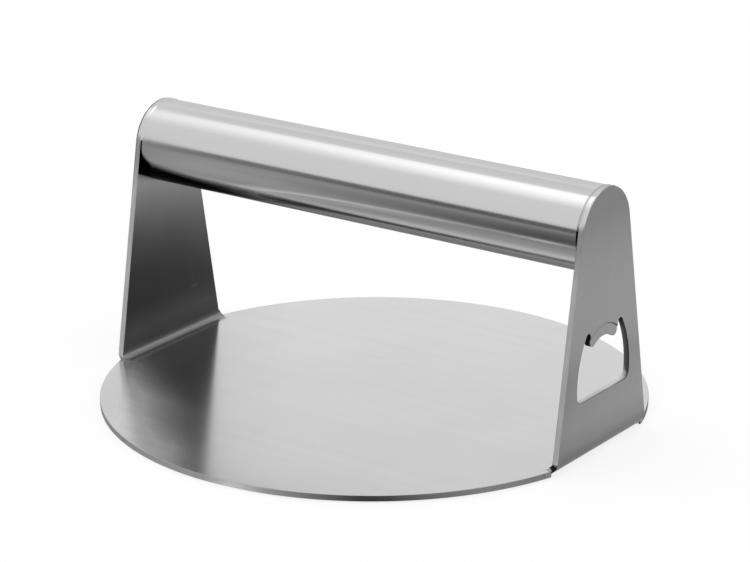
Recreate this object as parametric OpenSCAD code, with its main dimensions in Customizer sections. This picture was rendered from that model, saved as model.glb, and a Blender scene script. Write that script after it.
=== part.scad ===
// Round burger press: a steel disc with two uprights folded up from the same sheet,
// a tube handle welded between them, and a bottle opener cut through one upright.
// Millimetres, +Z up. The origin is the centre of the plate's underside.
// +X runs along the handle, towards the upright with the bottle opener.

/* [Pressing plate] */
// Diameter of the round plate
plate_d = 165; // [130:1:220]
// Thickness of the steel sheet that the plate and the uprights are cut from
sheet_t = 1.8; // [1:0.1:3]

/* [Uprights] */
// How far each upright's outer face stands in from the rim's widest place
upright_inset = 2.25; // [1.75:0.25:4]
// Width of each upright at the level of the plate's underside
foot_w = 49.6; // [42:0.2:56]
// How far an upright's round top stands proud of the handle tube
top_margin = 0.2; // [0.1:0.1:3]
// Inside radius of the fold between the plate and an upright
fold_r = 2.6; // [1:0.1:4]
// How far the flat rim runs in under each end of a fold
rim_lap = 0.6; // [0.4:0.1:2]
// Diameter of the round reliefs cut where the plate's rim meets the opener upright's sides
relief_d = 2; // [1.4:0.1:3]
// How far a relief bites into the upright's side
relief_bite = 0.8; // [0.4:0.1:1.2]
// Radius that rounds off the rim's ends beside the reliefs
rim_end_r = 0.6; // [0.4:0.1:1.6]

/* [Handle] */
// Outer diameter of the handle tube
tube_d = 25.4; // [20:0.1:32]
// Wall thickness of the handle tube
tube_wall = 1.2; // [0.8:0.1:3]
// Height of the tube's axis above the plate's underside
handle_h = 66.7; // [60:0.1:110]
// Root gap between the tube's end and the upright, bridged by the weld
weld_gap = 0.6; // [0.3:0.1:2]
// How much of the tube's end is welded, in degrees centred on the top
weld_arc = 155; // [90:5:270]

/* [Bottle opener] */
// Height of the window's lower edge above the plate's underside
window_h = 18.5; // [12:0.5:22]
// Width of the window at its widest place
window_w = 28.2; // [26:0.2:32]
// Height of the widest place above the window's lower edge
widest_h = 4.5; // [3.2:0.1:6]
// Radius of the window's long curved sides
side_r = 27.5; // [24:0.5:40]
// Radius of the window's lower corners
corner_r = 2.4; // [1:0.1:3]
// Width of the lip that hooks under a bottle cap
lip_w = 14.7; // [12:0.1:16]
// Height of the lip's two points above the window's lower edge
lip_gap = 15.2; // [13:0.1:16]
// Radius of the lip's two points
point_r = 1.6; // [0.8:0.1:2.5]
// Depth of the hollow between the lip's two points
hollow_d = 1.75; // [0.8:0.05:2.5]
// Width of the slot on either side of the lip
ear_w = 2.6; // [1.5:0.1:3]
// How far the lip is pressed in from the upright's outer face
press_d = 0.3; // [0.2:0.1:1]
// Height of the press crease's crown above the lip's points
crease_h = 5.15; // [4:0.05:7]
// How far the crease falls from its crown to the lip's sides
crease_drop = 2.6; // [1:0.1:3]

/* [Hidden] */
$fn = 96;
// Spare length by which a cutting shape passes the face that it cuts
past = 1;
// Strip of flat sheet short of a fold, where the upright's shape and the plate's run together
root_l = 1;
// Radius of an upright's round top
top_r = tube_d / 2 + top_margin;
// Outer face of an upright, and the line where its fold leaves the plate
outer_x = plate_d / 2 - upright_inset;
fold_x = outer_x - sheet_t - fold_r;
// Height at which the fold ends and the upright's straight leg begins
leg_z = sheet_t + fold_r;
// Where the tube ends, one root gap short of the upright's inner face
tube_end = outer_x - sheet_t - weld_gap;
// Angle by which an upright's straight sides lean in to meet its round top
side_lean = atan(foot_w / 2 / handle_h) - asin(top_r / norm([foot_w / 2, handle_h]));
// Where the rim meets the fold's end, and the relief just past it: how far round the bend
// its centre lies, measured along the sheet's middle layer, and how far out it stands
middle_r = fold_r + sheet_t / 2;
rim_x = sqrt((plate_d / 2) ^ 2 - (foot_w / 2) ^ 2);
relief_turn = (rim_x - fold_x + relief_d / 2) / middle_r * 180 / PI;
relief_z = leg_z - middle_r * cos(relief_turn);
relief_y = foot_w / 2 - relief_z * tan(side_lean) - relief_bite + relief_d / 2;
// Centre of the arc that rounds off the rim's end, touching the rim and the side of the fold's gap
rim_end_y = foot_w / 2 - rim_lap + rim_end_r;
rim_end_x = sqrt((plate_d / 2 - rim_end_r) ^ 2 - rim_end_y ^ 2);
// The window's side curves: centre, for the side at +Y
widest_z = window_h + widest_h;
side_y = window_w / 2 - side_r;
// Lower corner of the window, touching its side curve and its lower edge
corner_z = window_h + corner_r;
corner_y = side_y + sqrt((side_r - corner_r) ^ 2 - (corner_z - widest_z) ^ 2);
// Slot beside the lip, touching the lip's side and the window's side curve
ear_r = ear_w / 2;
ear_y = lip_w / 2 + ear_r;
ear_z = widest_z + sqrt((side_r - ear_r) ^ 2 - (ear_y - side_y) ^ 2);
// Lip's points, and the hollow that runs smoothly into both of them
point_y = lip_w / 2 - point_r;
point_z = window_h + lip_gap + point_r;
hollow_r = (point_y ^ 2 + hollow_d ^ 2) / (2 * hollow_d) - point_r;
hollow_z = window_h + lip_gap + hollow_d - hollow_r;
// Crease of the pressed lip, an arc over it
crease_z = window_h + lip_gap + crease_h;
crease_r = ((lip_w / 2) ^ 2 + crease_drop ^ 2) / (2 * crease_drop);

// Extrudes an outline drawn with Y across and Z up, from one X to another
module along_x(from, to) {
  translate([from, 0, 0]) rotate([90, 0, 90]) linear_extrude(to - from) children();
}

// An upright seen from its end: straight sides that run into a round top
module upright_outline() {
  across = top_r * cos(side_lean);
  up = handle_h + top_r * sin(side_lean);
  polygon([[-foot_w / 2, 0], [foot_w / 2, 0], [across, up], [-across, up]]);
  translate([0, handle_h]) circle(top_r);
}

// The sheet seen along the fold: a strip of the plate, a quarter bend and the straight leg
module fold_profile() {
  translate([fold_x - root_l, 0]) square([root_l, sheet_t]);
  translate([fold_x, leg_z]) intersection() {
    difference() {
      circle(leg_z);
      circle(fold_r);
    }
    translate([0, -leg_z]) square(leg_z);
  }
  translate([outer_x - sheet_t, leg_z]) square([sheet_t, handle_h + top_r]);
}

// The bottle opener's lip: two rounded points with a hollow between them
module lip_outline() {
  toward = atan2(point_z - hollow_z, point_y);
  touch_y = hollow_r * cos(toward);
  touch_z = hollow_z + hollow_r * sin(toward);
  difference() {
    union() {
      translate([-lip_w / 2, point_z]) square([lip_w, ear_z + ear_r + past - point_z]);
      polygon([[-point_y, point_z], [point_y, point_z], [touch_y, touch_z], [-touch_y, touch_z]]);
    }
    translate([0, hollow_z]) circle(hollow_r);
  }
  for (side = [-1, 1]) translate([side * point_y, point_z]) circle(point_r);
}

// What is cut off outside a small arc, between two directions from its centre
module outside_arc(r, from, to) {
  reach = 3 * r;
  middle = (from + to) / 2;
  difference() {
    polygon([
      [0, 0],
      reach * [cos(from), sin(from)],
      reach * [cos(middle), sin(middle)] / cos((to - from) / 2),
      reach * [cos(to), sin(to)]
    ]);
    circle(r);
  }
}

// The hole in the upright: curved sides, round lower corners, and a slot beside the lip
module window_outline() {
  corner_from = atan2(corner_z - widest_z, corner_y - side_y);
  ear_from = atan2(ear_z - widest_z, ear_y - side_y);
  difference() {
    intersection() {
      translate([side_y, widest_z]) circle(side_r);
      translate([-side_y, widest_z]) circle(side_r);
      translate([-window_w, window_h]) square([2 * window_w, ear_z + ear_r - window_h]);
    }
    for (side = [0, 1]) mirror([side, 0]) {
      translate([corner_y, corner_z]) outside_arc(corner_r, -90, corner_from);
      translate([ear_y, ear_z]) outside_arc(ear_r, ear_from, 180);
    }
    lip_outline();
  }
}

// Where the lip is pressed in: below its curved crease, and across the slots beside it
module pressed_outline() {
  intersection() {
    translate([-ear_y, widest_z]) square([2 * ear_y, crease_z - widest_z]);
    translate([0, crease_z - crease_r]) circle(crease_r);
  }
}

// One upright with its fold, standing at the +X end of the plate
module upright() {
  intersection() {
    rotate([90, 0, 0]) linear_extrude(2 * foot_w, center = true) fold_profile();
    along_x(fold_x - root_l, outer_x) upright_outline();
  }
}

// The upright at +X, with the bottle opener's window and pressed lip
module opener_upright() {
  difference() {
    union() {
      upright();
      along_x(outer_x - sheet_t - press_d, outer_x - press_d) pressed_outline();
    }
    along_x(outer_x - press_d, outer_x + past) pressed_outline();
    along_x(outer_x - sheet_t - press_d - past, outer_x + past) window_outline();
  }
}

// The place of a fold in the plate, between the two stretches of rim that run in under it
module fold_gap() {
  half = foot_w / 2 - rim_lap;
  translate([fold_x, -half, -past]) cube([plate_d, 2 * half, sheet_t + 2 * past]);
}

// Round reliefs, cut square to the bent sheet at both ends of the fold below the bottle opener
module fold_reliefs() {
  for (side = [-1, 1]) translate([fold_x, side * relief_y, leg_z])
    rotate([0, 180 - relief_turn, 0]) cylinder(d = relief_d, h = leg_z + past);
}

// What is cut off to round the rim's ends beside the reliefs
module rim_ends() {
  turn = atan2(rim_end_y, rim_end_x);
  for (side = [0, 1]) mirror([0, side, 0]) translate([rim_end_x, rim_end_y, -past])
    linear_extrude(sheet_t + 2 * past) outside_arc(rim_end_r, -90, turn);
}

module folded_sheet() {
  color("silver") difference() {
    union() {
      difference() {
        cylinder(d = plate_d, h = sheet_t);
        for (end = [0, 1]) mirror([end, 0, 0]) fold_gap();
        rim_ends();
      }
      opener_upright();
      mirror([1, 0, 0]) upright();
    }
    fold_reliefs();
  }
}

module handle_tube() {
  color("gainsboro") translate([-tube_end, 0, handle_h]) rotate([0, 90, 0]) difference() {
    cylinder(d = tube_d, h = 2 * tube_end);
    translate([0, 0, -past]) cylinder(d = tube_d - 2 * tube_wall, h = 2 * (tube_end + past));
  }
}

// Weld over the top of the tube's end, ground flush from the tube to the upright's edge
module weld() {
  inner_r = tube_d / 2 - tube_wall;
  translate([tube_end, 0, handle_h]) rotate([0, 90, 0]) rotate(180 - weld_arc / 2)
    rotate_extrude(angle = weld_arc)
      polygon([[inner_r, 0], [tube_d / 2, 0], [top_r, weld_gap], [inner_r, weld_gap]]);
}

module left_weld() {
  color("darkgray") mirror([1, 0, 0]) weld();
}

module right_weld() {
  color("darkgray") weld();
}

folded_sheet();
handle_tube();
left_weld();
right_weld();
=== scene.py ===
"""Round burger press in brushed stainless steel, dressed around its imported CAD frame."""

import math

import bmesh
import bpy
from mathutils import Matrix, Vector


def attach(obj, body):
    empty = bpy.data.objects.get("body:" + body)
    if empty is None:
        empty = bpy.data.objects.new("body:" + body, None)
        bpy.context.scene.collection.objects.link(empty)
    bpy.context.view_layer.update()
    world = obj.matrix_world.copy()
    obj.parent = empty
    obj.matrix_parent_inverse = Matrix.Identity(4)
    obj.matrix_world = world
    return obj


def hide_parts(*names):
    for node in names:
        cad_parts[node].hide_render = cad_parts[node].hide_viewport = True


for spare in ("Cube", "Light", "Camera"):
    if spare in bpy.data.objects:
        bpy.data.objects.remove(bpy.data.objects[spare])
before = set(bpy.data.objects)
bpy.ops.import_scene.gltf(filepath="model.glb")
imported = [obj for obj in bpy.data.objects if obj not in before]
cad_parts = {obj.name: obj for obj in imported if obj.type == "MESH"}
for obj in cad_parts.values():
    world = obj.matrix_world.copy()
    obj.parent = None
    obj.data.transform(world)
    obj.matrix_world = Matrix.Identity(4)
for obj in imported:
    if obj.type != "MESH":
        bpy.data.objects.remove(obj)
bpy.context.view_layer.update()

# Sizes of the press in millimetres, the same as in the CAD source
MM = 0.001
PLATE_R = 82.5
SHEET_T = 1.8
OUTER_X = 80.25
FOOT_HALF = 24.8
FOLD_R = 2.6
RIM_LAP = 0.6
RELIEF_R = 1.0
RELIEF_BITE = 0.8
RIM_END_R = 0.6
TUBE_R = 12.7
TUBE_WALL = 1.2
HANDLE_H = 66.7
TOP_R = 12.9
WELD_GAP = 0.6
WELD_ARC = math.radians(155)
WINDOW_H = 18.5
WINDOW_HALF = 14.1
WIDEST_Z = 23.0
SIDE_R = 27.5
CORNER_R = 2.4
LIP_HALF = 7.35
LIP_GAP = 15.2
POINT_R = 1.6
HOLLOW_D = 1.75
EAR_R = 1.3
PRESS_D = 0.3
CREASE_H = 5.15
CREASE_DROP = 2.6

# Places that follow from those sizes
LEG_Z = SHEET_T + FOLD_R
FOLD_X = OUTER_X - LEG_Z
INNER_X = OUTER_X - SHEET_T
MIDDLE_R = FOLD_R + SHEET_T / 2
TUBE_END = INNER_X - WELD_GAP
SIDE_LEAN = math.atan(FOOT_HALF / HANDLE_H) - math.asin(TOP_R / math.hypot(FOOT_HALF, HANDLE_H))
RIM_X = math.sqrt(PLATE_R ** 2 - FOOT_HALF ** 2)
SLIT_Y = FOOT_HALF - RIM_LAP
RELIEF_S = RIM_X - FOLD_X + RELIEF_R
RIM_END_Y = SLIT_Y + RIM_END_R
RIM_END_X = math.sqrt((PLATE_R - RIM_END_R) ** 2 - RIM_END_Y ** 2)
POINTS_H = WINDOW_H + LIP_GAP
CREASE_R = (LIP_HALF ** 2 + CREASE_DROP ** 2) / (2 * CREASE_DROP)
CREASE_CENTRE = POINTS_H + CREASE_H - CREASE_R
HANDLE_CENTRE = (0, 0, HANDLE_H)
X_AXIS = (1, 0, 0)
Z_AXIS = (0, 0, 1)

# Finishing sizes that only the looks need, in millimetres
DEBURR = 0.25
FINE_DEBURR = 0.1
LIP_RAMP = 0.15

# What counts as a sharp edge, as a face of the skin, and as a face to shade smooth
SHARP_EDGE = math.radians(35)
LOOKS_OUT = 0.5
MOST_CORNERS = 4

# Cross-section of a ground weld: shares of the gap, and of the step up to the upright's edge
WELD_SECTION = ((0, 0), (0.3, 0.15), (0.7, 0.85), (1, 1))

# Number of facets along each kind of curve
RIM_STEPS = 128
FOLD_STEPS = 36
TOP_STEPS = 32
TUBE_STEPS = 160
WELD_STEPS = 72
WINDOW_STEPS = 20
CORNER_STEPS = 12
LIP_STEPS = 14
HOLLOW_STEPS = 10

# Tolerances for joining corners and for telling edges and walls apart, in millimetres
MERGED = 0.002
TOUCHING = 0.01
ON_WALL = 0.02
ON_EDGE = 0.05
BEHIND_FACE = 0.1
ROUND_WINDOW = 0.5
BESIDE_LIP = 4

# Order of the folded sheet's materials
BRUSHED = 0
DEBURRED = 1
RAW_CUT = 2

# Shade, roughness and grazing tint of the bare steel, before its marks
SHEET_SHADE = 0.43
EDGE_SHADE = 0.76
TUBE_SHADE = 0.58
RAW_SHADE = 0.02
SHEET_ROUGH = 0.17
EDGE_ROUGH = 0.46
TUBE_ROUGH = 0.15
WELD_ROUGH = 0.18
RAW_ROUGH = 0.5
SATIN = (0.1, 0.265)
SHEET_TINT = 0.9
TUBE_TINT = 0.5
GRAIN_DEPTH = 0.000005
GRAIN_STRENGTH = 0.1
# The coarse, scuffed share is painted this much brighter: a painted sheen
SCUFF_SHEEN_GAIN = 1.9
SCUFF_ROUGH = 0.7
# Curve of the painted shade on the plain upright's inner face
PAINTED_SHADE_CURVE = 718

# Directions as the photograph shows them: across it over the plate, and down an upright's face
ACROSS_X = 0.814
ACROSS_Y = 0.58
DOWN_Y = 0.391
DOWN_Z = 0.92

# Camera that took the photograph, fitted to the press's outline
CAMERA_AZIMUTH = 35.472
CAMERA_ELEVATION = 19.108
CAMERA_ROLL = -0.225
CAMERA_DISTANCE = 889.412
CAMERA_TARGET = (5.407, -6.987, 38.977)
CAMERA_LENS = 144.685
CAMERA_SENSOR = 36
CAMERA_CLIP = (0.01, 50)

# Studio: lengths in metres, a card's facet in degrees, and a lamp's watts per area and radiance
FLOOR_R = 9
FLOOR_STEPS = 64
FLOOR_Z = -0.0004
FLOOR_CARD_Z = -0.0002
CARD_FACET = 4
LAMP_WATTS = 4
WHITE = (1, 1, 1, 1)


class Value:
    """A shader socket that takes part in sums: each operator adds one Math node."""

    def __init__(self, tree, socket):
        self.tree = tree
        self.socket = socket

    def maths(self, operation, first, second):
        return self.tree.node("ShaderNodeMath", {"operation": operation}, {0: first, 1: second})

    def __add__(self, other):
        return self.maths("ADD", self, other)

    def __radd__(self, other):
        return self.maths("ADD", other, self)

    def __sub__(self, other):
        return self.maths("SUBTRACT", self, other)

    def __rsub__(self, other):
        return self.maths("SUBTRACT", other, self)

    def __mul__(self, other):
        return self.maths("MULTIPLY", self, other)

    def __rmul__(self, other):
        return self.maths("MULTIPLY", other, self)

    def __truediv__(self, other):
        return self.maths("DIVIDE", self, other)

    def __abs__(self):
        return self.maths("ABSOLUTE", self, 0.0)

    def between(self, low, high):
        return self.tree.node("ShaderNodeClamp", {}, {"Value": self, "Min": low, "Max": high})


class NodeTree:
    """A node tree in which one method makes every node."""

    def __init__(self, owner):
        owner.use_nodes = True
        self.nodes = owner.node_tree.nodes
        self.links = owner.node_tree.links
        self.nodes.clear()

    def node(self, kind, settings=None, inputs=None, output=0):
        made = self.nodes.new(kind)
        for name, setting in (settings or {}).items():
            setattr(made, name, setting)
        for name, given in (inputs or {}).items():
            if isinstance(given, Value):
                self.links.new(given.socket, made.inputs[name])
            else:
                made.inputs[name].default_value = given
        if len(made.outputs) == 0:
            return None
        return Value(self, made.outputs[output])

    def place(self):
        """The place on the object that is being shaded, in metres."""
        return self.node("ShaderNodeTexCoord", output="Object")

    def axis(self, name):
        """That place along one axis."""
        return self.node("ShaderNodeSeparateXYZ", {}, {0: self.place()}, name)


def over(value, start, span):
    """Nothing up to a place, then rising to one over a span above it, in millimetres."""
    return ((value - start * MM) / (span * MM)).between(0.0, 1.0)


def under(value, start, span):
    """Nothing down to a place, then rising to one over a span below it, in millimetres."""
    return ((start * MM - value) / (span * MM)).between(0.0, 1.0)


def band(value, middle, half):
    """One at a place and fading to nothing on both sides of it, in millimetres."""
    return (1 - abs(value - middle * MM) / (half * MM)).between(0.0, 1.0)


def swing(noise, amount):
    """Noise up and down from its middle."""
    return (noise - 0.5) * amount


class Steel:
    """A steel material: its node tree and the place that its marks follow."""

    def __init__(self, name):
        self.material = bpy.data.materials.new(name)
        self.tree = NodeTree(self.material)
        self.place = self.tree.place()
        self.x = self.tree.axis("X")
        self.y = self.tree.axis("Y")
        self.z = self.tree.axis("Z")

    def noise(self, scale, detail, turn=0.0):
        """Noise drawn out along the axes whose scale is small, turned about Z."""
        sizes = tuple(1 / each for each in scale)
        stretched = self.tree.node(
            "ShaderNodeMapping",
            {"vector_type": "TEXTURE"},
            {"Vector": self.place, "Scale": sizes, "Rotation": (0, 0, turn)},
        )
        drawn = {"Vector": stretched, "Scale": 1.0, "Detail": detail}
        return self.tree.node("ShaderNodeTexNoise", {}, drawn)

    def bare_metal(self, shade, rough, normal, tint):
        """Bare metal; the tint is for grazing light."""
        return self.tree.node(
            "ShaderNodeBsdfPrincipled",
            {},
            {
                "Base Color": shade,
                "Metallic": 1.0,
                "Roughness": rough,
                "Normal": normal,
                "Specular Tint": (tint, tint, tint, 1),
            },
        )

    def surface(self, shade, rough, grain, tint=SHEET_TINT, scuffs_and_sheen=None):
        """Steel with a little raised grain, and a share of coarse steel where it is scuffed,
        painted brighter as a sheen.
        """
        relief = {"Strength": GRAIN_STRENGTH, "Distance": GRAIN_DEPTH, "Height": grain}
        lifted = self.tree.node("ShaderNodeBump", {}, relief)
        metal = self.bare_metal(shade, rough, lifted, tint)
        if scuffs_and_sheen is not None:
            coarse = self.bare_metal(SCUFF_SHEEN_GAIN * shade, SCUFF_ROUGH, lifted, tint)
            metal = self.tree.node("ShaderNodeMixShader", {}, {0: scuffs_and_sheen, 1: metal, 2: coarse})
        self.tree.node("ShaderNodeOutputMaterial", {}, {"Surface": metal})
        return self.material


def scratch(y, z, start, end, width):
    """A straight scratch between two places on an upright, in millimetres."""
    reach_y = (end[0] - start[0]) * MM
    reach_z = (end[1] - start[1]) * MM
    length = math.hypot(reach_y, reach_z)
    away_y = y - start[0] * MM
    away_z = z - start[1] * MM
    along = ((away_y * reach_y + away_z * reach_z) / length ** 2).between(0.0, 1.0)
    off = abs(away_y - along * reach_y) + abs(away_z - along * reach_z)
    return (1 - off / (width * MM)).between(0.0, 1.0)


def across_plate(x, y):
    """How far a place lies across the picture from the plain fold's near end."""
    return (x + FOLD_X * MM) * ACROSS_X + (y + SLIT_Y * MM) * ACROSS_Y


def plate_wear_and_sheen(x, y, z):
    """Wear that roughens the plate beside the plain fold and towards the near rim, with a painted
    sheen there.
    """
    across = across_plate(x, y)
    reach = (10.2 * MM + 0.62 * (-26 * MM - y)).between(0.0, 22 * MM)
    painted_beside_fold = under(across - reach, 7, 22)
    painted_beside_fold = painted_beside_fold * painted_beside_fold * ((across + 4 * MM) / (6 * MM)).between(0.25, 1.0)
    near_rim = under(y, -52, 20) * under(across, 32, 14)
    return (painted_beside_fold + 0.5 * near_rim * near_rim).between(0.0, 1.0) * under(z, 4, 4)


def inner_face(x):
    """One on the inner face of the plain upright."""
    return over(x, -79.5, 0.5) * under(x, -70, 1)


def handling_marks(y, z, smears):
    """Scratches and smears on the plain upright."""
    marks = scratch(y, z, (10.2, 15.5), (14.0, 15.8), 0.35)
    marks = marks + 0.5 * scratch(y, z, (10.6, 16.2), (11.9, 22.4), 0.3)
    marks = marks + 0.6 * scratch(y, z, (-7.0, 45.0), (2.0, 52.5), 0.4)
    return marks + (smears - 0.5).between(0.0, 0.3) * over(z, 30, 20)


def plain_upright_painted_shade(z):
    """Painted shade on the plain upright's inner face: darkest below its middle, a little lighter
    at the foot.
    """
    off_darkest = z - 27 * MM
    tone = (PAINTED_SHADE_CURVE * off_darkest * off_darkest - 0.4).between(-0.4, 0.5)
    return tone + 0.35 * band(z, 9, 7)


def opener_upright_painted_shade(z):
    """Painted light and shade on the opener upright's outer face: darker towards its top and its
    foot.
    """
    near_top = over(z, 48, 24.5)
    tone = 0.14 * band(z, 12, 8) - 0.11 * band(z, 27, 9) - 0.26 * near_top * near_top
    return tone - 0.2 * under(z, 6.2, 3)


def upright_painted_reflection(y, z):
    """A painted dark reflection of the tube's lower side on the plain upright, in the corner under
    the tube.
    """
    below_tube = TUBE_R * MM - DOWN_Y * abs(y) - DOWN_Z * (HANDLE_H * MM - z)
    return over(below_tube, 0, 0.4) * under(y, -4, 2)


def crease_painted_shade(x, y, z):
    """Painted shade along the crease pressed over the bottle opener's lip."""
    above = z - CREASE_CENTRE * MM
    off_crease = abs(y * y + above * above - (CREASE_R * MM) ** 2) / (2 * CREASE_R * MM)
    line = under(off_crease, 0.3, 0.3) * over(above, 0, 1)
    return line * under(abs(y), LIP_HALF, 0.3) * over(x, 0, 10)


def brushed_sheet_steel():
    """Sheet brushed along the handle and on up the uprights, duller where bent and handled."""
    steel = Steel("brushed_sheet_steel")
    x = steel.x
    y = steel.y
    z = steel.z
    grain = steel.noise((45, 3600, 45), 3.0)
    streaks = steel.noise((7, 260, 7), 2.0)
    clouds = steel.noise((26, 26, 26), 2.0)
    smears = steel.noise((60, 170, 60), 4.0)
    strokes = steel.noise((55, 700, 55), 3.0, math.radians(-8))

    standing = over(z, LEG_Z, 2)
    low = (1 - standing) * under(abs(y), SLIT_Y, 0.3)
    bent = over(abs(x), FOLD_X, 0.6) * low
    # Painted shade at the foot of the plain fold's bend and on the plate beside it
    fold_painted_shade = over(abs(x), FOLD_X - 1.2, 0.4) * under(abs(x), FOLD_X + 0.8, 0.15)
    fold_painted_shade = fold_painted_shade * low * under(x, 0, 10)
    # Painted shade on the plate beside the plain fold, a tenth darker
    painted_beside_fold = under(across_plate(x, y), 50, 24)
    wear_and_sheen = plate_wear_and_sheen(x, y, z)
    inside = inner_face(x)
    handled = inside * handling_marks(y, z, smears)
    # Painted shade over the plain upright's inner face
    plain_painted_shade = inside * standing * plain_upright_painted_shade(z)
    # Painted light and shade over the opener upright's outer face
    opener_painted_shade = over(x, 79.5, 0.5) * opener_upright_painted_shade(z)
    # Painted dark reflection of the tube in the corner under it
    painted_dark = inside * upright_painted_reflection(y, z)

    shade = SHEET_SHADE + swing(streaks, 0.03) + swing(grain, 0.04) + swing(clouds, 0.05)
    shade = (shade + 0.12 * handled) * (1 + plain_painted_shade) * (1 + opener_painted_shade)
    shade = shade * (1 + wear_and_sheen * swing(strokes, 0.35)) * (1 - 0.65 * crease_painted_shade(x, y, z))
    shade = shade * (1 - 0.1 * painted_beside_fold) * (1 - 0.45 * fold_painted_shade) * (1 - 0.95 * painted_dark)
    rough = SHEET_ROUGH + swing(grain, 0.05) + swing(clouds, 0.04) + 0.1 * wear_and_sheen
    rough = rough.between(*SATIN) + 0.15 * standing + 0.23 * bent + 0.3 * handled
    # Scuffed steel over the plate, most where the wear is, painted brighter as a sheen
    scuffs_and_sheen = 0.06 * under(z, 4, 4) + 0.7 * wear_and_sheen
    return steel.surface(shade, rough, grain, scuffs_and_sheen=scuffs_and_sheen)


def deburred_edge_steel():
    """The sheet's edges: linished to a matt grey, and polished with the tube round the tops, with
    painted light and shade on some.
    """
    steel = Steel("deburred_edge_steel")
    x = steel.x
    y = steel.y
    z = steel.z
    grain = steel.noise((600, 600, 90), 3.0)

    opener_half = over(x, 0, 10)
    polished = over(z, 68.8, 4)
    heat_tint = over(z, 54, 10) * (1 - polished)
    # Edges low on the plate, the rim among them: painted shade halves their brightness
    low_edges = under(z, 3, 1)
    # Painted shade on the polished edge by the weld root at the opener's end
    root_painted_shade = under(x, 79.4, 1.2) * opener_half * polished
    # Painted shade along the outer edge of the plain upright's top, a painted dark reflection
    outer_painted_shade = under(x, -79.6, 0.1) * over(z, 50, 10)
    # Painted light on the wall at the slit's end by the opener fold, as bright as the plate
    slit_painted_light = under(abs(y), 24.6, 0.1) * under(x, 78.6, 0.2) * low_edges * opener_half
    crown = over(z, 78.5, 0.6) * opener_half

    shade = EDGE_SHADE - 0.18 * polished + swing(grain, 0.12 - 0.08 * polished)
    shade = shade * (1 - 0.35 * heat_tint) * (1 - 0.5 * low_edges) * (1 - 0.3 * root_painted_shade)
    shade = shade * (1 - outer_painted_shade * (0.35 + 0.55 * polished)) + 0.5 * slit_painted_light
    rough = EDGE_ROUGH - 0.3 * polished + 0.3 * crown + swing(grain, 0.08)
    return steel.surface(shade, rough, grain, TUBE_TINT)


def raw_cut_steel():
    """Walls left as cut, dark with oxide, with painted light on the window's lower edge and on one
    side wall.
    """
    steel = Steel("raw_cut_steel")
    x = steel.x
    y = steel.y
    z = steel.z
    grain = steel.noise((900, 900, 900), 3.0)

    inner = under(x, OUTER_X, SHEET_T)
    in_corner = over(y, 5, 5)
    off_edge = abs(z - WINDOW_H * MM) / (3 * MM)
    # Painted light on the window's lower edge, most towards the inside, least in its corner
    bare = (0.4 - 0.25 * in_corner + 1.2 * inner - off_edge).between(0.0, 1.0)
    # Painted light on the window's side wall at +Y, between its lower edge and the lip
    painted_lit_side = over(y, 0, 4) * under(z, 37.5, 4) * over(z, 10, 2) * (0.05 + 0.17 * inner)

    shade = RAW_SHADE + (painted_lit_side + 0.5 * bare).between(0.0, 0.55) + swing(grain, 0.02)
    rough = RAW_ROUGH + swing(grain, 0.2)
    return steel.surface(shade, rough, grain)


def polished_tube_steel():
    """Tube polished to a satin sheen, with a painted dark reflection on its lower side by the plain
    end.
    """
    steel = Steel("polished_tube_steel")
    x = steel.x
    y = steel.y
    z = steel.z
    grain = steel.noise((30, 3000, 3000), 3.0)
    streaks = steel.noise((6, 300, 300), 2.0)
    clouds = steel.noise((40, 40, 40), 2.0)

    # Painted dark reflection on the tube's lower side by its plain end
    painted_dark_z = 64 * MM - 0.136 * (x + INNER_X * MM) + 0.9 * (-75.2 * MM - x).between(0.0, 3 * MM)
    painted_dark = under(z - painted_dark_z, 0, 2.5)
    # Painted shade, a little darker below the tube's middle
    painted_lower_shade = under(z, 63, 6)
    # Painted light: the tube's bottom is brighter, for what the plate mirrors of it
    painted_underside_light = under(z, 55.7, 1.5)
    near_end = under(x, -50, 25)
    # Painted reflections: a light and a fading band along the tube's front
    painted_bright_band = 0.3 * band(z, 60.3, 1.8)
    painted_fading_band = (0.25 - 10 * x).between(-0.43, 0.54) * band(z, 65.6, 3.0) * over(x, -85, 30)
    front_painted_reflections = under(y, -2, 2) * (painted_bright_band + painted_fading_band)

    shade = TUBE_SHADE + swing(streaks, 0.03) + swing(grain, 0.03)
    shade = shade * (1 + front_painted_reflections) * (1 + 0.6 * painted_underside_light)
    shade = shade * (1 - 0.07 * painted_lower_shade) * (1 - 0.985 * painted_dark)
    rough = TUBE_ROUGH + swing(grain, 0.06) + swing(clouds, 0.04) + 0.1 * near_end
    return steel.surface(shade, rough.between(*SATIN), grain, TUBE_TINT)


def ground_weld_steel():
    """Weld metal ground flush and polished, with painted shade over the weld at the opener's end.
    """
    steel = Steel("ground_weld_steel")
    grain = steel.noise((700, 700, 700), 3.0)

    # Painted shade over the weld at the opener's end
    root_painted_shade = over(steel.x, TUBE_END, 0.2)
    shade = (TUBE_SHADE + swing(grain, 0.06)) * (1 - 0.35 * root_painted_shade)
    rough = WELD_ROUGH + swing(grain, 0.08)
    return steel.surface(shade, rough, grain, TUBE_TINT)


def spin(bm, parts, centre, axis, angle, steps, merge=False):
    """Spins parts of a mesh round an axis and gives what lies at the far end."""
    spun = bmesh.ops.spin(
        bm,
        geom=parts,
        cent=centre,
        axis=axis,
        angle=angle,
        steps=steps,
        use_merge=merge,
    )
    return spun["geom_last"]


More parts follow.
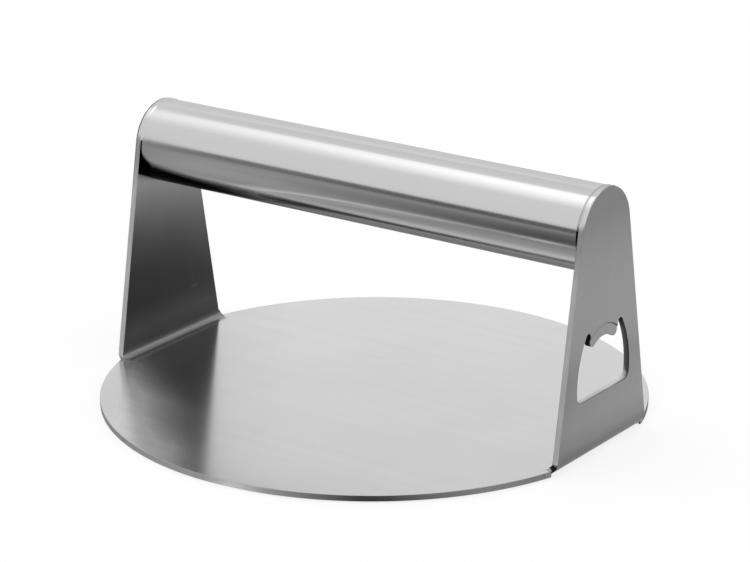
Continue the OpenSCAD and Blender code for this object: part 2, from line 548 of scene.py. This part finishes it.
class Pen:
    """Draws a closed outline on a mesh: straight strokes, and arcs spun from the last vertex."""

    def __init__(self, bm, start):
        self.bm = bm
        self.before = set(bm.edges)
        self.first = bm.verts.new(start)
        self.tip = self.first

    def line(self, end):
        corner = self.bm.verts.new(end)
        self.bm.edges.new((self.tip, corner))
        self.tip = corner

    def arc(self, centre, axis, angle, steps):
        known = set(self.bm.edges)
        last = spin(self.bm, [self.tip], centre, axis, angle, steps)
        self.tip = next(part for part in last if isinstance(part, bmesh.types.BMVert))
        return [edge for edge in self.bm.edges if edge not in known]

    def close(self):
        self.bm.edges.new((self.tip, self.first))

    def fill(self):
        self.close()
        drawn = [edge for edge in self.bm.edges if edge not in self.before]
        bmesh.ops.contextual_create(self.bm, geom=drawn)


def side_half(z):
    """Half the width of an upright at a height."""
    return FOOT_HALF - z * math.tan(SIDE_LEAN)


def round_bend(place):
    """How far round the bend a place lies, measured along the sheet's middle layer."""
    return math.atan2(abs(place.x) - FOLD_X, LEG_Z - place.z) * MIDDLE_R


def bend_side(along):
    """Half the width of an upright at a place round its bend."""
    return side_half(LEG_Z - MIDDLE_R * math.cos(along / MIDDLE_R))


def fold_half(corner):
    """Half the width of a fold at a corner of its mesh, with the relief at the opener's end."""
    along = round_bend(corner)
    side = bend_side(along)
    if corner.x < 0:
        return min(side, SLIT_Y + along / 2)
    past = abs(along - RELIEF_S)
    if past < RELIEF_R:
        relief_y = bend_side(RELIEF_S) - RELIEF_BITE + RELIEF_R
        return min(side, relief_y - math.sqrt(RELIEF_R ** 2 - past ** 2))
    return min(side, SLIT_Y) if along < RELIEF_S else side


def half_plate(bm):
    """The half of the round plate at +Y, up to both fold lines."""
    rim_start = math.atan2(RIM_END_Y, RIM_END_X)
    sweep = math.pi - rim_start - math.asin(SLIT_Y / PLATE_R)
    rim_end = (RIM_END_X, RIM_END_Y, 0)
    pen = Pen(bm, (FOLD_X, 0, 0))
    pen.line((FOLD_X, SLIT_Y, 0))
    pen.line((RIM_END_X, SLIT_Y, 0))
    pen.arc(rim_end, Z_AXIS, math.pi / 2 + rim_start, CORNER_STEPS)
    pen.arc((0, 0, 0), Z_AXIS, sweep, RIM_STEPS)
    pen.line((-FOLD_X, SLIT_Y, 0))
    pen.line((-FOLD_X, 0, 0))
    pen.fill()


def half_fold(bm, end):
    """The quarter bend at one end of the plate, spun up from the fold line."""
    start = bm.verts.new((end * FOLD_X, 0, 0))
    stop = bm.verts.new((end * FOLD_X, SLIT_Y, 0))
    line = bm.edges.new((start, stop))
    known = set(bm.verts)
    centre = (end * FOLD_X, 0, LEG_Z)
    spin(bm, [start, stop, line], centre, (0, -end, 0), math.pi / 2, FOLD_STEPS)
    for corner in bm.verts:
        if corner not in known and corner.co.y > SLIT_Y / 2:
            corner.co.y = fold_half(corner.co)


def half_outline(bm, x):
    """Starts the outline of an upright's half: its foot, its leaning side and its round top."""
    pen = Pen(bm, (x, 0, LEG_Z))
    pen.line((x, side_half(LEG_Z), LEG_Z))
    pen.line((x, TOP_R * math.cos(SIDE_LEAN), HANDLE_H + TOP_R * math.sin(SIDE_LEAN)))
    pen.arc((x, 0, HANDLE_H), X_AXIS, math.pi / 2 - SIDE_LEAN, TOP_STEPS)
    return pen


def half_opener_upright(bm):
    """Half of the upright with the bottle opener: the window's edge and the pressed lip."""
    side_y = WINDOW_HALF - SIDE_R
    corner_z = WINDOW_H + CORNER_R
    corner_y = side_y + math.sqrt((SIDE_R - CORNER_R) ** 2 - (corner_z - WIDEST_Z) ** 2)
    corner_from = math.atan2(corner_z - WIDEST_Z, corner_y - side_y)
    ear_y = LIP_HALF + EAR_R
    ear_z = WIDEST_Z + math.sqrt((SIDE_R - EAR_R) ** 2 - (ear_y - side_y) ** 2)
    ear_from = math.atan2(ear_z - WIDEST_Z, ear_y - side_y)
    crease_turn = math.asin(LIP_HALF / CREASE_R)
    pen = half_outline(bm, OUTER_X)
    pen.line((OUTER_X, 0, CREASE_CENTRE + CREASE_R))
    crease = pen.arc((OUTER_X, 0, CREASE_CENTRE), X_AXIS, -crease_turn, LIP_STEPS)
    pen.line((OUTER_X, LIP_HALF, ear_z))
    pen.arc((OUTER_X, ear_y, ear_z), X_AXIS, ear_from - math.pi, LIP_STEPS)
    pen.arc((OUTER_X, side_y, WIDEST_Z), X_AXIS, corner_from - ear_from, WINDOW_STEPS)
    pen.arc((OUTER_X, corner_y, corner_z), X_AXIS, -math.pi / 2 - corner_from, CORNER_STEPS)
    pen.line((OUTER_X, 0, WINDOW_H))
    pen.fill()
    ramp = half_lip(bm)
    bmesh.ops.bridge_loops(bm, edges=crease + ramp)


def half_lip(bm):
    """Half of the pressed lip; gives its upper edge, from which a ramp leads up to the crease."""
    lip_x = OUTER_X - PRESS_D
    point_y = LIP_HALF - POINT_R
    point_z = POINTS_H + POINT_R
    hollow_r = (point_y ** 2 + HOLLOW_D ** 2) / (2 * HOLLOW_D) - POINT_R
    hollow_z = POINTS_H + HOLLOW_D - hollow_r
    toward = math.atan2(point_z - hollow_z, point_y)
    ramp_r = CREASE_R - LIP_RAMP
    ramp_turn = math.asin(LIP_HALF / ramp_r)
    pen = Pen(bm, (lip_x, 0, CREASE_CENTRE + ramp_r))
    ramp = pen.arc((lip_x, 0, CREASE_CENTRE), X_AXIS, -ramp_turn, LIP_STEPS)
    pen.line((lip_x, LIP_HALF, point_z))
    pen.arc((lip_x, point_y, point_z), X_AXIS, toward - math.pi, LIP_STEPS)
    pen.arc((lip_x, 0, hollow_z), X_AXIS, math.pi / 2 - toward, HOLLOW_STEPS)
    pen.fill()
    return ramp


def folded_skin(bm):
    """The outer skin of the folded sheet: drawn for +Y, then mirrored and welded together."""
    half_plate(bm)
    for end in (-1, 1):
        half_fold(bm, end)
    half_outline(bm, -OUTER_X).fill()
    half_opener_upright(bm)
    bmesh.ops.remove_doubles(bm, verts=bm.verts, dist=MERGED)
    everything = bm.verts[:] + bm.edges[:] + bm.faces[:]
    bmesh.ops.mirror(bm, geom=everything, matrix=Matrix(), merge_dist=MERGED, axis="Y")
    bmesh.ops.recalc_face_normals(bm, faces=bm.faces)
    widest = max(bm.faces, key=lambda face: face.calc_area())
    if widest.normal.z > 0:
        bmesh.ops.reverse_faces(bm, faces=bm.faces)


def thicken(bm):
    """Gives the skin its thickness; the uprights' inner skin stands straight behind the outer."""
    skin = bm.verts.layers.float_vector.new("skin")
    for corner in bm.verts:
        corner[skin] = corner.co
    bmesh.ops.solidify(bm, geom=bm.faces[:], thickness=SHEET_T)
    for corner in bm.verts:
        outer = corner[skin]
        moved = (corner.co - outer).length > SHEET_T / 2
        if moved and outer.z > LEG_Z + TOUCHING:
            corner.co = (outer.x - math.copysign(SHEET_T, outer.x), outer.y, outer.z)
    bm.verts.layers.float_vector.remove(skin)
    bmesh.ops.recalc_face_normals(bm, faces=bm.faces)


def sheet_normal(place):
    """Direction through the sheet's thickness at a place on it."""
    if abs(place.x) < FOLD_X:
        return Vector(Z_AXIS)
    if place.z > LEG_Z:
        return Vector(X_AXIS)
    across = Vector((abs(place.x) - FOLD_X, 0, place.z - LEG_Z)).normalized()
    return Vector((math.copysign(across.x, place.x), 0, across.z))


def middle_of(edge):
    return (edge.verts[0].co + edge.verts[1].co) / 2


def on_rim(place):
    """Whether a place is on the plate's rim."""
    outside = math.hypot(place.x, place.y) > PLATE_R - ON_EDGE
    return outside and place.z < SHEET_T + TOUCHING


def in_window(place):
    """Whether a place is on the edge of the bottle opener's window."""
    across = place.x > FOLD_X and abs(place.y) < WINDOW_HALF + ROUND_WINDOW
    return across and WINDOW_H - ROUND_WINDOW < place.z < HANDLE_H - TOP_R


def in_slit(edge):
    """Whether an edge belongs to the closed slit or the relief at a fold's end."""
    middle = middle_of(edge)
    if abs(middle.x) < FOLD_X - DEBURR or middle.z > LEG_Z - DEBURR or on_rim(middle):
        return False
    if middle.x < 0:
        return abs(middle.y) > SLIT_Y - ON_EDGE
    return SLIT_Y - RELIEF_R < abs(middle.y) < RIM_END_Y + RIM_END_R / 2


def under_weld(edge):
    """Whether an edge lies along the weld, which is ground flush over it."""
    weld_z = HANDLE_H + TOP_R * math.cos(WELD_ARC / 2)
    for corner in edge.verts:
        if abs(abs(corner.co.x) - INNER_X) >= TOUCHING or corner.co.z <= weld_z:
            return False
    return True


def on_crease(edge):
    """Whether an edge runs along the crease over the pressed lip."""
    for corner in edge.verts:
        above = corner.co.z - CREASE_CENTRE
        inside = CREASE_R - math.hypot(corner.co.y, above)
        on_ramp = -TOUCHING < inside < LIP_RAMP + TOUCHING
        if corner.co.x < FOLD_X or above < 0 or not on_ramp:
            return False
    return True


def kept_sharp(edge):
    """Whether an edge isn't broken: under a weld, in a slit, on the lip and inside the window."""
    middle = middle_of(edge)
    inside = middle.x < OUTER_X - BEHIND_FACE or middle.z > POINTS_H - BESIDE_LIP
    hidden = in_window(middle) and inside
    return hidden or in_slit(edge) or on_crease(edge) or under_weld(edge)


def fine_edge(edge):
    """Whether an edge is broken only a little: the rim's edges and the window's outer edge."""
    middle = middle_of(edge)
    return on_rim(middle) or in_window(middle)


def wall_kind(face):
    """Material of a face: brushed skin, deburred edge, or wall left as cut."""
    middle = face.calc_center_median()
    if abs(face.normal.dot(sheet_normal(middle))) > LOOKS_OUT:
        return BRUSHED
    if math.hypot(middle.x, middle.y) > PLATE_R - ON_WALL:
        return DEBURRED
    beside_relief = abs(round_bend(middle) - RELIEF_S) < RELIEF_R + ON_WALL
    in_relief = middle.x > FOLD_X and middle.z < LEG_Z and beside_relief
    on_end = middle.x > RIM_END_X and middle.z < SHEET_T and abs(middle.y) > SLIT_Y + ON_WALL
    return RAW_CUT if in_window(middle) or in_relief or on_end else DEBURRED


def soften(bm):
    """Shades a mesh smooth up to its sharp edges; faces with many corners are flat."""
    for face in bm.faces:
        face.smooth = len(face.verts) <= MOST_CORNERS
    for edge in bm.edges:
        edge.smooth = edge.calc_face_angle(0) < SHARP_EDGE


def finished_piece(bm, name, materials, node):
    """Brings a mesh to metres and hangs it on the frame in place of its CAD node."""
    soften(bm)
    bmesh.ops.scale(bm, vec=(MM, MM, MM), verts=bm.verts)
    mesh = bpy.data.meshes.new(name)
    bm.to_mesh(mesh)
    bm.free()
    for material in materials:
        mesh.materials.append(material)
    piece = bpy.data.objects.new(name, mesh)
    bpy.context.scene.collection.objects.link(piece)
    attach(piece, "root")
    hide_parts(node)


def folded_sheet(materials):
    """The folded sheet: its skin thickened, and its edges broken by two widths of deburring."""
    bm = bmesh.new()
    folded_skin(bm)
    thicken(bm)
    for face in bm.faces:
        face.material_index = wall_kind(face)
    for fine, width in ((False, DEBURR), (True, FINE_DEBURR)):
        sharp = [edge for edge in bm.edges if edge.calc_face_angle() > SHARP_EDGE]
        chosen = [edge for edge in sharp if not kept_sharp(edge) and fine_edge(edge) == fine]
        broken = bmesh.ops.bevel(
            bm,
            geom=chosen,
            offset=width,
            offset_type="OFFSET",
            segments=1,
            profile=0.5,
            affect="EDGES",
            material=-1,
            clamp_overlap=False,
        )
        for face in broken["faces"]:
            inside = in_window(face.calc_center_median())
            face.material_index = RAW_CUT if inside else DEBURRED
    finished_piece(bm, "folded_sheet_steel", materials, "folded_sheet")


def handle_tube(material):
    """The drawn tube: a wall profile with square ends, spun round the handle's axis."""
    bm = bmesh.new()
    outside = HANDLE_H + TUBE_R
    inside = outside - TUBE_WALL
    pen = Pen(bm, (-TUBE_END, 0, outside))
    pen.line((TUBE_END, 0, outside))
    pen.line((TUBE_END, 0, inside))
    pen.line((-TUBE_END, 0, inside))
    pen.close()
    profile = bm.verts[:] + bm.edges[:]
    spin(bm, profile, HANDLE_CENTRE, X_AXIS, 2 * math.pi, TUBE_STEPS, merge=True)
    bmesh.ops.remove_doubles(bm, verts=bm.verts, dist=MERGED)
    bmesh.ops.recalc_face_normals(bm, faces=bm.faces)
    finished_piece(bm, "handle_tube_steel", [material], "handle_tube")


def weld(material, end, node):
    """A weld over the top of the tube's end, ground flush from the tube to the upright's edge."""
    bm = bmesh.new()
    outside = HANDLE_H + TUBE_R
    inside = outside - TUBE_WALL
    start = end * TUBE_END
    gap = end * WELD_GAP
    step = TOP_R - TUBE_R
    pen = Pen(bm, (start, 0, inside))
    for along, up in WELD_SECTION:
        pen.line((start + gap * along, 0, outside + step * up))
    pen.line((start + gap, 0, inside))
    pen.fill()
    first_turn = Matrix.Rotation(-WELD_ARC / 2, 3, "X")
    bmesh.ops.rotate(bm, verts=bm.verts, cent=HANDLE_CENTRE, matrix=first_turn)
    section = bm.verts[:] + bm.edges[:] + bm.faces[:]
    spin(bm, section, HANDLE_CENTRE, X_AXIS, WELD_ARC, WELD_STEPS)
    bmesh.ops.remove_doubles(bm, verts=bm.verts, dist=MERGED)
    bmesh.ops.recalc_face_normals(bm, faces=bm.faces)
    finished_piece(bm, node + "_bead", [material], node)


def photo_camera():
    """The camera at the photograph's viewing angle."""
    azimuth = math.radians(CAMERA_AZIMUTH)
    elevation = math.radians(CAMERA_ELEVATION)
    back = Vector(
        (
            math.sin(azimuth) * math.cos(elevation),
            -math.cos(azimuth) * math.cos(elevation),
            math.sin(elevation),
        )
    )
    right = Vector((math.cos(azimuth), math.sin(azimuth), 0))
    up = back.cross(right)
    level = Matrix((right, up, back)).transposed().to_4x4()
    roll = Matrix.Rotation(math.radians(CAMERA_ROLL), 4, "Z")
    eye = (Vector(CAMERA_TARGET) + CAMERA_DISTANCE * back) * MM
    lens = bpy.data.cameras.new("photo_camera")
    lens.lens = CAMERA_LENS
    lens.sensor_width = CAMERA_SENSOR
    lens.clip_start, lens.clip_end = CAMERA_CLIP
    camera = bpy.data.objects.new("photo_camera", lens)
    camera.matrix_world = Matrix.Translation(eye) @ level @ roll
    bpy.context.scene.collection.objects.link(camera)
    bpy.context.scene.camera = camera


def seen_white(tree):
    """One for the rays that show the background: straight, off metal or through glass."""
    camera_ray = tree.node("ShaderNodeLightPath", output="Is Camera Ray")
    glossy_ray = tree.node("ShaderNodeLightPath", output="Is Glossy Ray")
    clear_ray = tree.node("ShaderNodeLightPath", output="Is Transmission Ray")
    return (camera_ray + glossy_ray + clear_ray).between(0.0, 1.0)


def stage_object(name, bm, material):
    """Makes a thing of the studio, which isn't part of the press."""
    mesh = bpy.data.meshes.new(name)
    bm.to_mesh(mesh)
    bm.free()
    mesh.materials.append(material)
    obj = bpy.data.objects.new(name, mesh)
    bpy.context.scene.collection.objects.link(obj)
    return obj


def white_world(ambient):
    """A white background that lights the scene a little less than it shows."""
    world = bpy.data.worlds.new("white_studio")
    bpy.context.scene.world = world
    tree = NodeTree(world)
    strength = ambient + (1 - ambient) * seen_white(tree)
    light = tree.node("ShaderNodeBackground", {}, {"Color": WHITE, "Strength": strength})
    tree.node("ShaderNodeOutputWorld", {}, {"Surface": light})


def pale_floor(shadow_share):
    """A white floor that keeps the shadow in the part of its light that comes from lamps."""
    material = bpy.data.materials.new("pale_floor")
    tree = NodeTree(material)
    grey = (shadow_share, shadow_share, shadow_share, 1)
    strength = (1 - shadow_share) * seen_white(tree)
    lit = tree.node("ShaderNodeBsdfDiffuse", {}, {"Color": grey})
    glow = tree.node("ShaderNodeEmission", {}, {"Color": WHITE, "Strength": strength})
    both = tree.node("ShaderNodeAddShader", {}, {0: lit, 1: glow})
    tree.node("ShaderNodeOutputMaterial", {}, {"Surface": both})
    bm = bmesh.new()
    bmesh.ops.create_circle(bm, cap_ends=True, segments=FLOOR_STEPS, radius=FLOOR_R)
    bmesh.ops.translate(bm, vec=(0, 0, FLOOR_Z), verts=bm.verts)
    stage_object("pale_floor", bm, material)


def floor_shade(tree):
    """Grey floor card: a painted shadow behind the press, and a painted ring of light and dark
    along its near rim.
    """
    x = tree.axis("X")
    y = tree.axis("Y")
    away = tree.node("ShaderNodeVectorMath", {"operation": "LENGTH"}, {0: tree.place()}, "Value")
    shade = 0.2 + 0.18 * under(x, -30, 200) + 0.72 * over(y, -120, 300)
    # Painted shadow on the floor card behind the press
    behind = under(away, PLATE_R + 52.5, 35) * over(y, 20, 30) * under(x, 70, 40)
    # Painted ring of light and dark along the near rim, in place of the card's grey
    front = under(away, PLATE_R + 18, 12) * under(y, -10, 30)
    glow = 0.8 * under(x, 45, 25) + 0.55 * over(x, 51, 20) + 0.85 * band(x, 8.6, 11)
    return shade.between(0.1, 0.7) * (1 - 0.65 * behind) * (1 - front) + glow * front


def backdrop_shade(tree):
    """White backdrop that falls off a little with height."""
    return (1.86 - tree.axis("Z")).between(1.24, 1.6)


def front_shade(tree):
    """Low front card, darker towards the opener's end."""
    return (0.18 - 0.8 * (tree.axis("X") + 0.67)).between(0.13, 0.26)


def overhead_shade(tree):
    """A lit sheet overhead: brightest along its back edge and towards the opener's end."""
    y = tree.axis("Y")
    along = (1.43 + tree.axis("X")).between(0.3, 0.9)
    return 1 + along * under(y, 330, 100) * over(y, -680, 640)


def studio_card(name, bm, shade_of):
    """A card that shows in the steel but not to the camera, and throws no shadow."""
    material = bpy.data.materials.new(name)
    tree = NodeTree(material)
    glow = tree.node("ShaderNodeEmission", {}, {"Color": WHITE, "Strength": shade_of(tree)})
    tree.node("ShaderNodeOutputMaterial", {}, {"Surface": glow})
    card = stage_object(name, bm, material)
    card.visible_camera = False
    card.visible_diffuse = False
    card.visible_transmission = False
    card.visible_volume_scatter = False
    card.visible_shadow = False


def flat_card(name, shade_of, low, high, z):
    """A level card between two corners."""
    size = (high[0] - low[0], high[1] - low[1], 1)
    middle = ((low[0] + high[0]) / 2, (low[1] + high[1]) / 2, z)
    bm = bmesh.new()
    bmesh.ops.create_grid(bm, x_segments=1, y_segments=1, size=0.5)
    bmesh.ops.scale(bm, vec=size, verts=bm.verts)
    bmesh.ops.translate(bm, vec=middle, verts=bm.verts)
    studio_card(name, bm, shade_of)


def standing_card(name, shade_of, radius, height, start, sweep):
    """A curved card that stands round the object, from one azimuth over a sweep, in degrees."""
    turn = math.radians(start)
    foot = (radius * math.cos(turn), radius * math.sin(turn), 0)
    bm = bmesh.new()
    low = bm.verts.new(foot)
    high = bm.verts.new((foot[0], foot[1], height))
    upright = bm.edges.new((low, high))
    steps = max(2, int(sweep / CARD_FACET))
    spin(bm, [low, high, upright], (0, 0, 0), Z_AXIS, math.radians(sweep), steps)
    studio_card(name, bm, shade_of)


def softbox(name, radiance, size_x, size_y, place):
    """A lamp that looks straight down on the floor; the steel shows the overhead card instead."""
    lamp = bpy.data.lights.new(name, "AREA")
    lamp.shape = "RECTANGLE"
    lamp.size = size_x
    lamp.size_y = size_y
    lamp.energy = LAMP_WATTS * radiance * size_x * size_y
    obj = bpy.data.objects.new(name, lamp)
    obj.location = place
    obj.visible_camera = False
    obj.visible_glossy = False
    bpy.context.scene.collection.objects.link(obj)


def studio():
    """White room, with cards placed so that each face mirrors what it does in the photograph."""
    white_world(ambient=0.9)
    pale_floor(shadow_share=0.2)
    flat_card("grey_floor_card", floor_shade, low=(-1.2, -1.2), high=(1.2, 1.2), z=FLOOR_CARD_Z)
    flat_card("overhead_card", overhead_shade, low=(-2.2, -0.75), high=(1.2, 0.45), z=1.27)
    standing_card("backdrop_card", backdrop_shade, radius=1.25, height=1.05, start=112, sweep=58)
    standing_card("backdrop_side_card", backdrop_shade, radius=1.25, height=0.6, start=85, sweep=27)
    standing_card("grey_back_card", lambda tree: 0.4, radius=1.4, height=2.0, start=66, sweep=46)
    standing_card("low_front_card", front_shade, radius=1.2, height=0.21, start=170, sweep=190)
    standing_card("dark_side_card", lambda tree: 0.045, radius=0.85, height=0.5, start=15, sweep=70)
    softbox("top_softbox", radiance=0.5, size_x=2.0, size_y=0.84, place=(-0.5, -0.14, 1.4))


bpy.context.scene.view_settings.view_transform = "Standard"
photo_camera()
weld_steel = ground_weld_steel()
folded_sheet([brushed_sheet_steel(), deburred_edge_steel(), raw_cut_steel()])
handle_tube(polished_tube_steel())
weld(weld_steel, -1, "left_weld")
weld(weld_steel, 1, "right_weld")
studio()
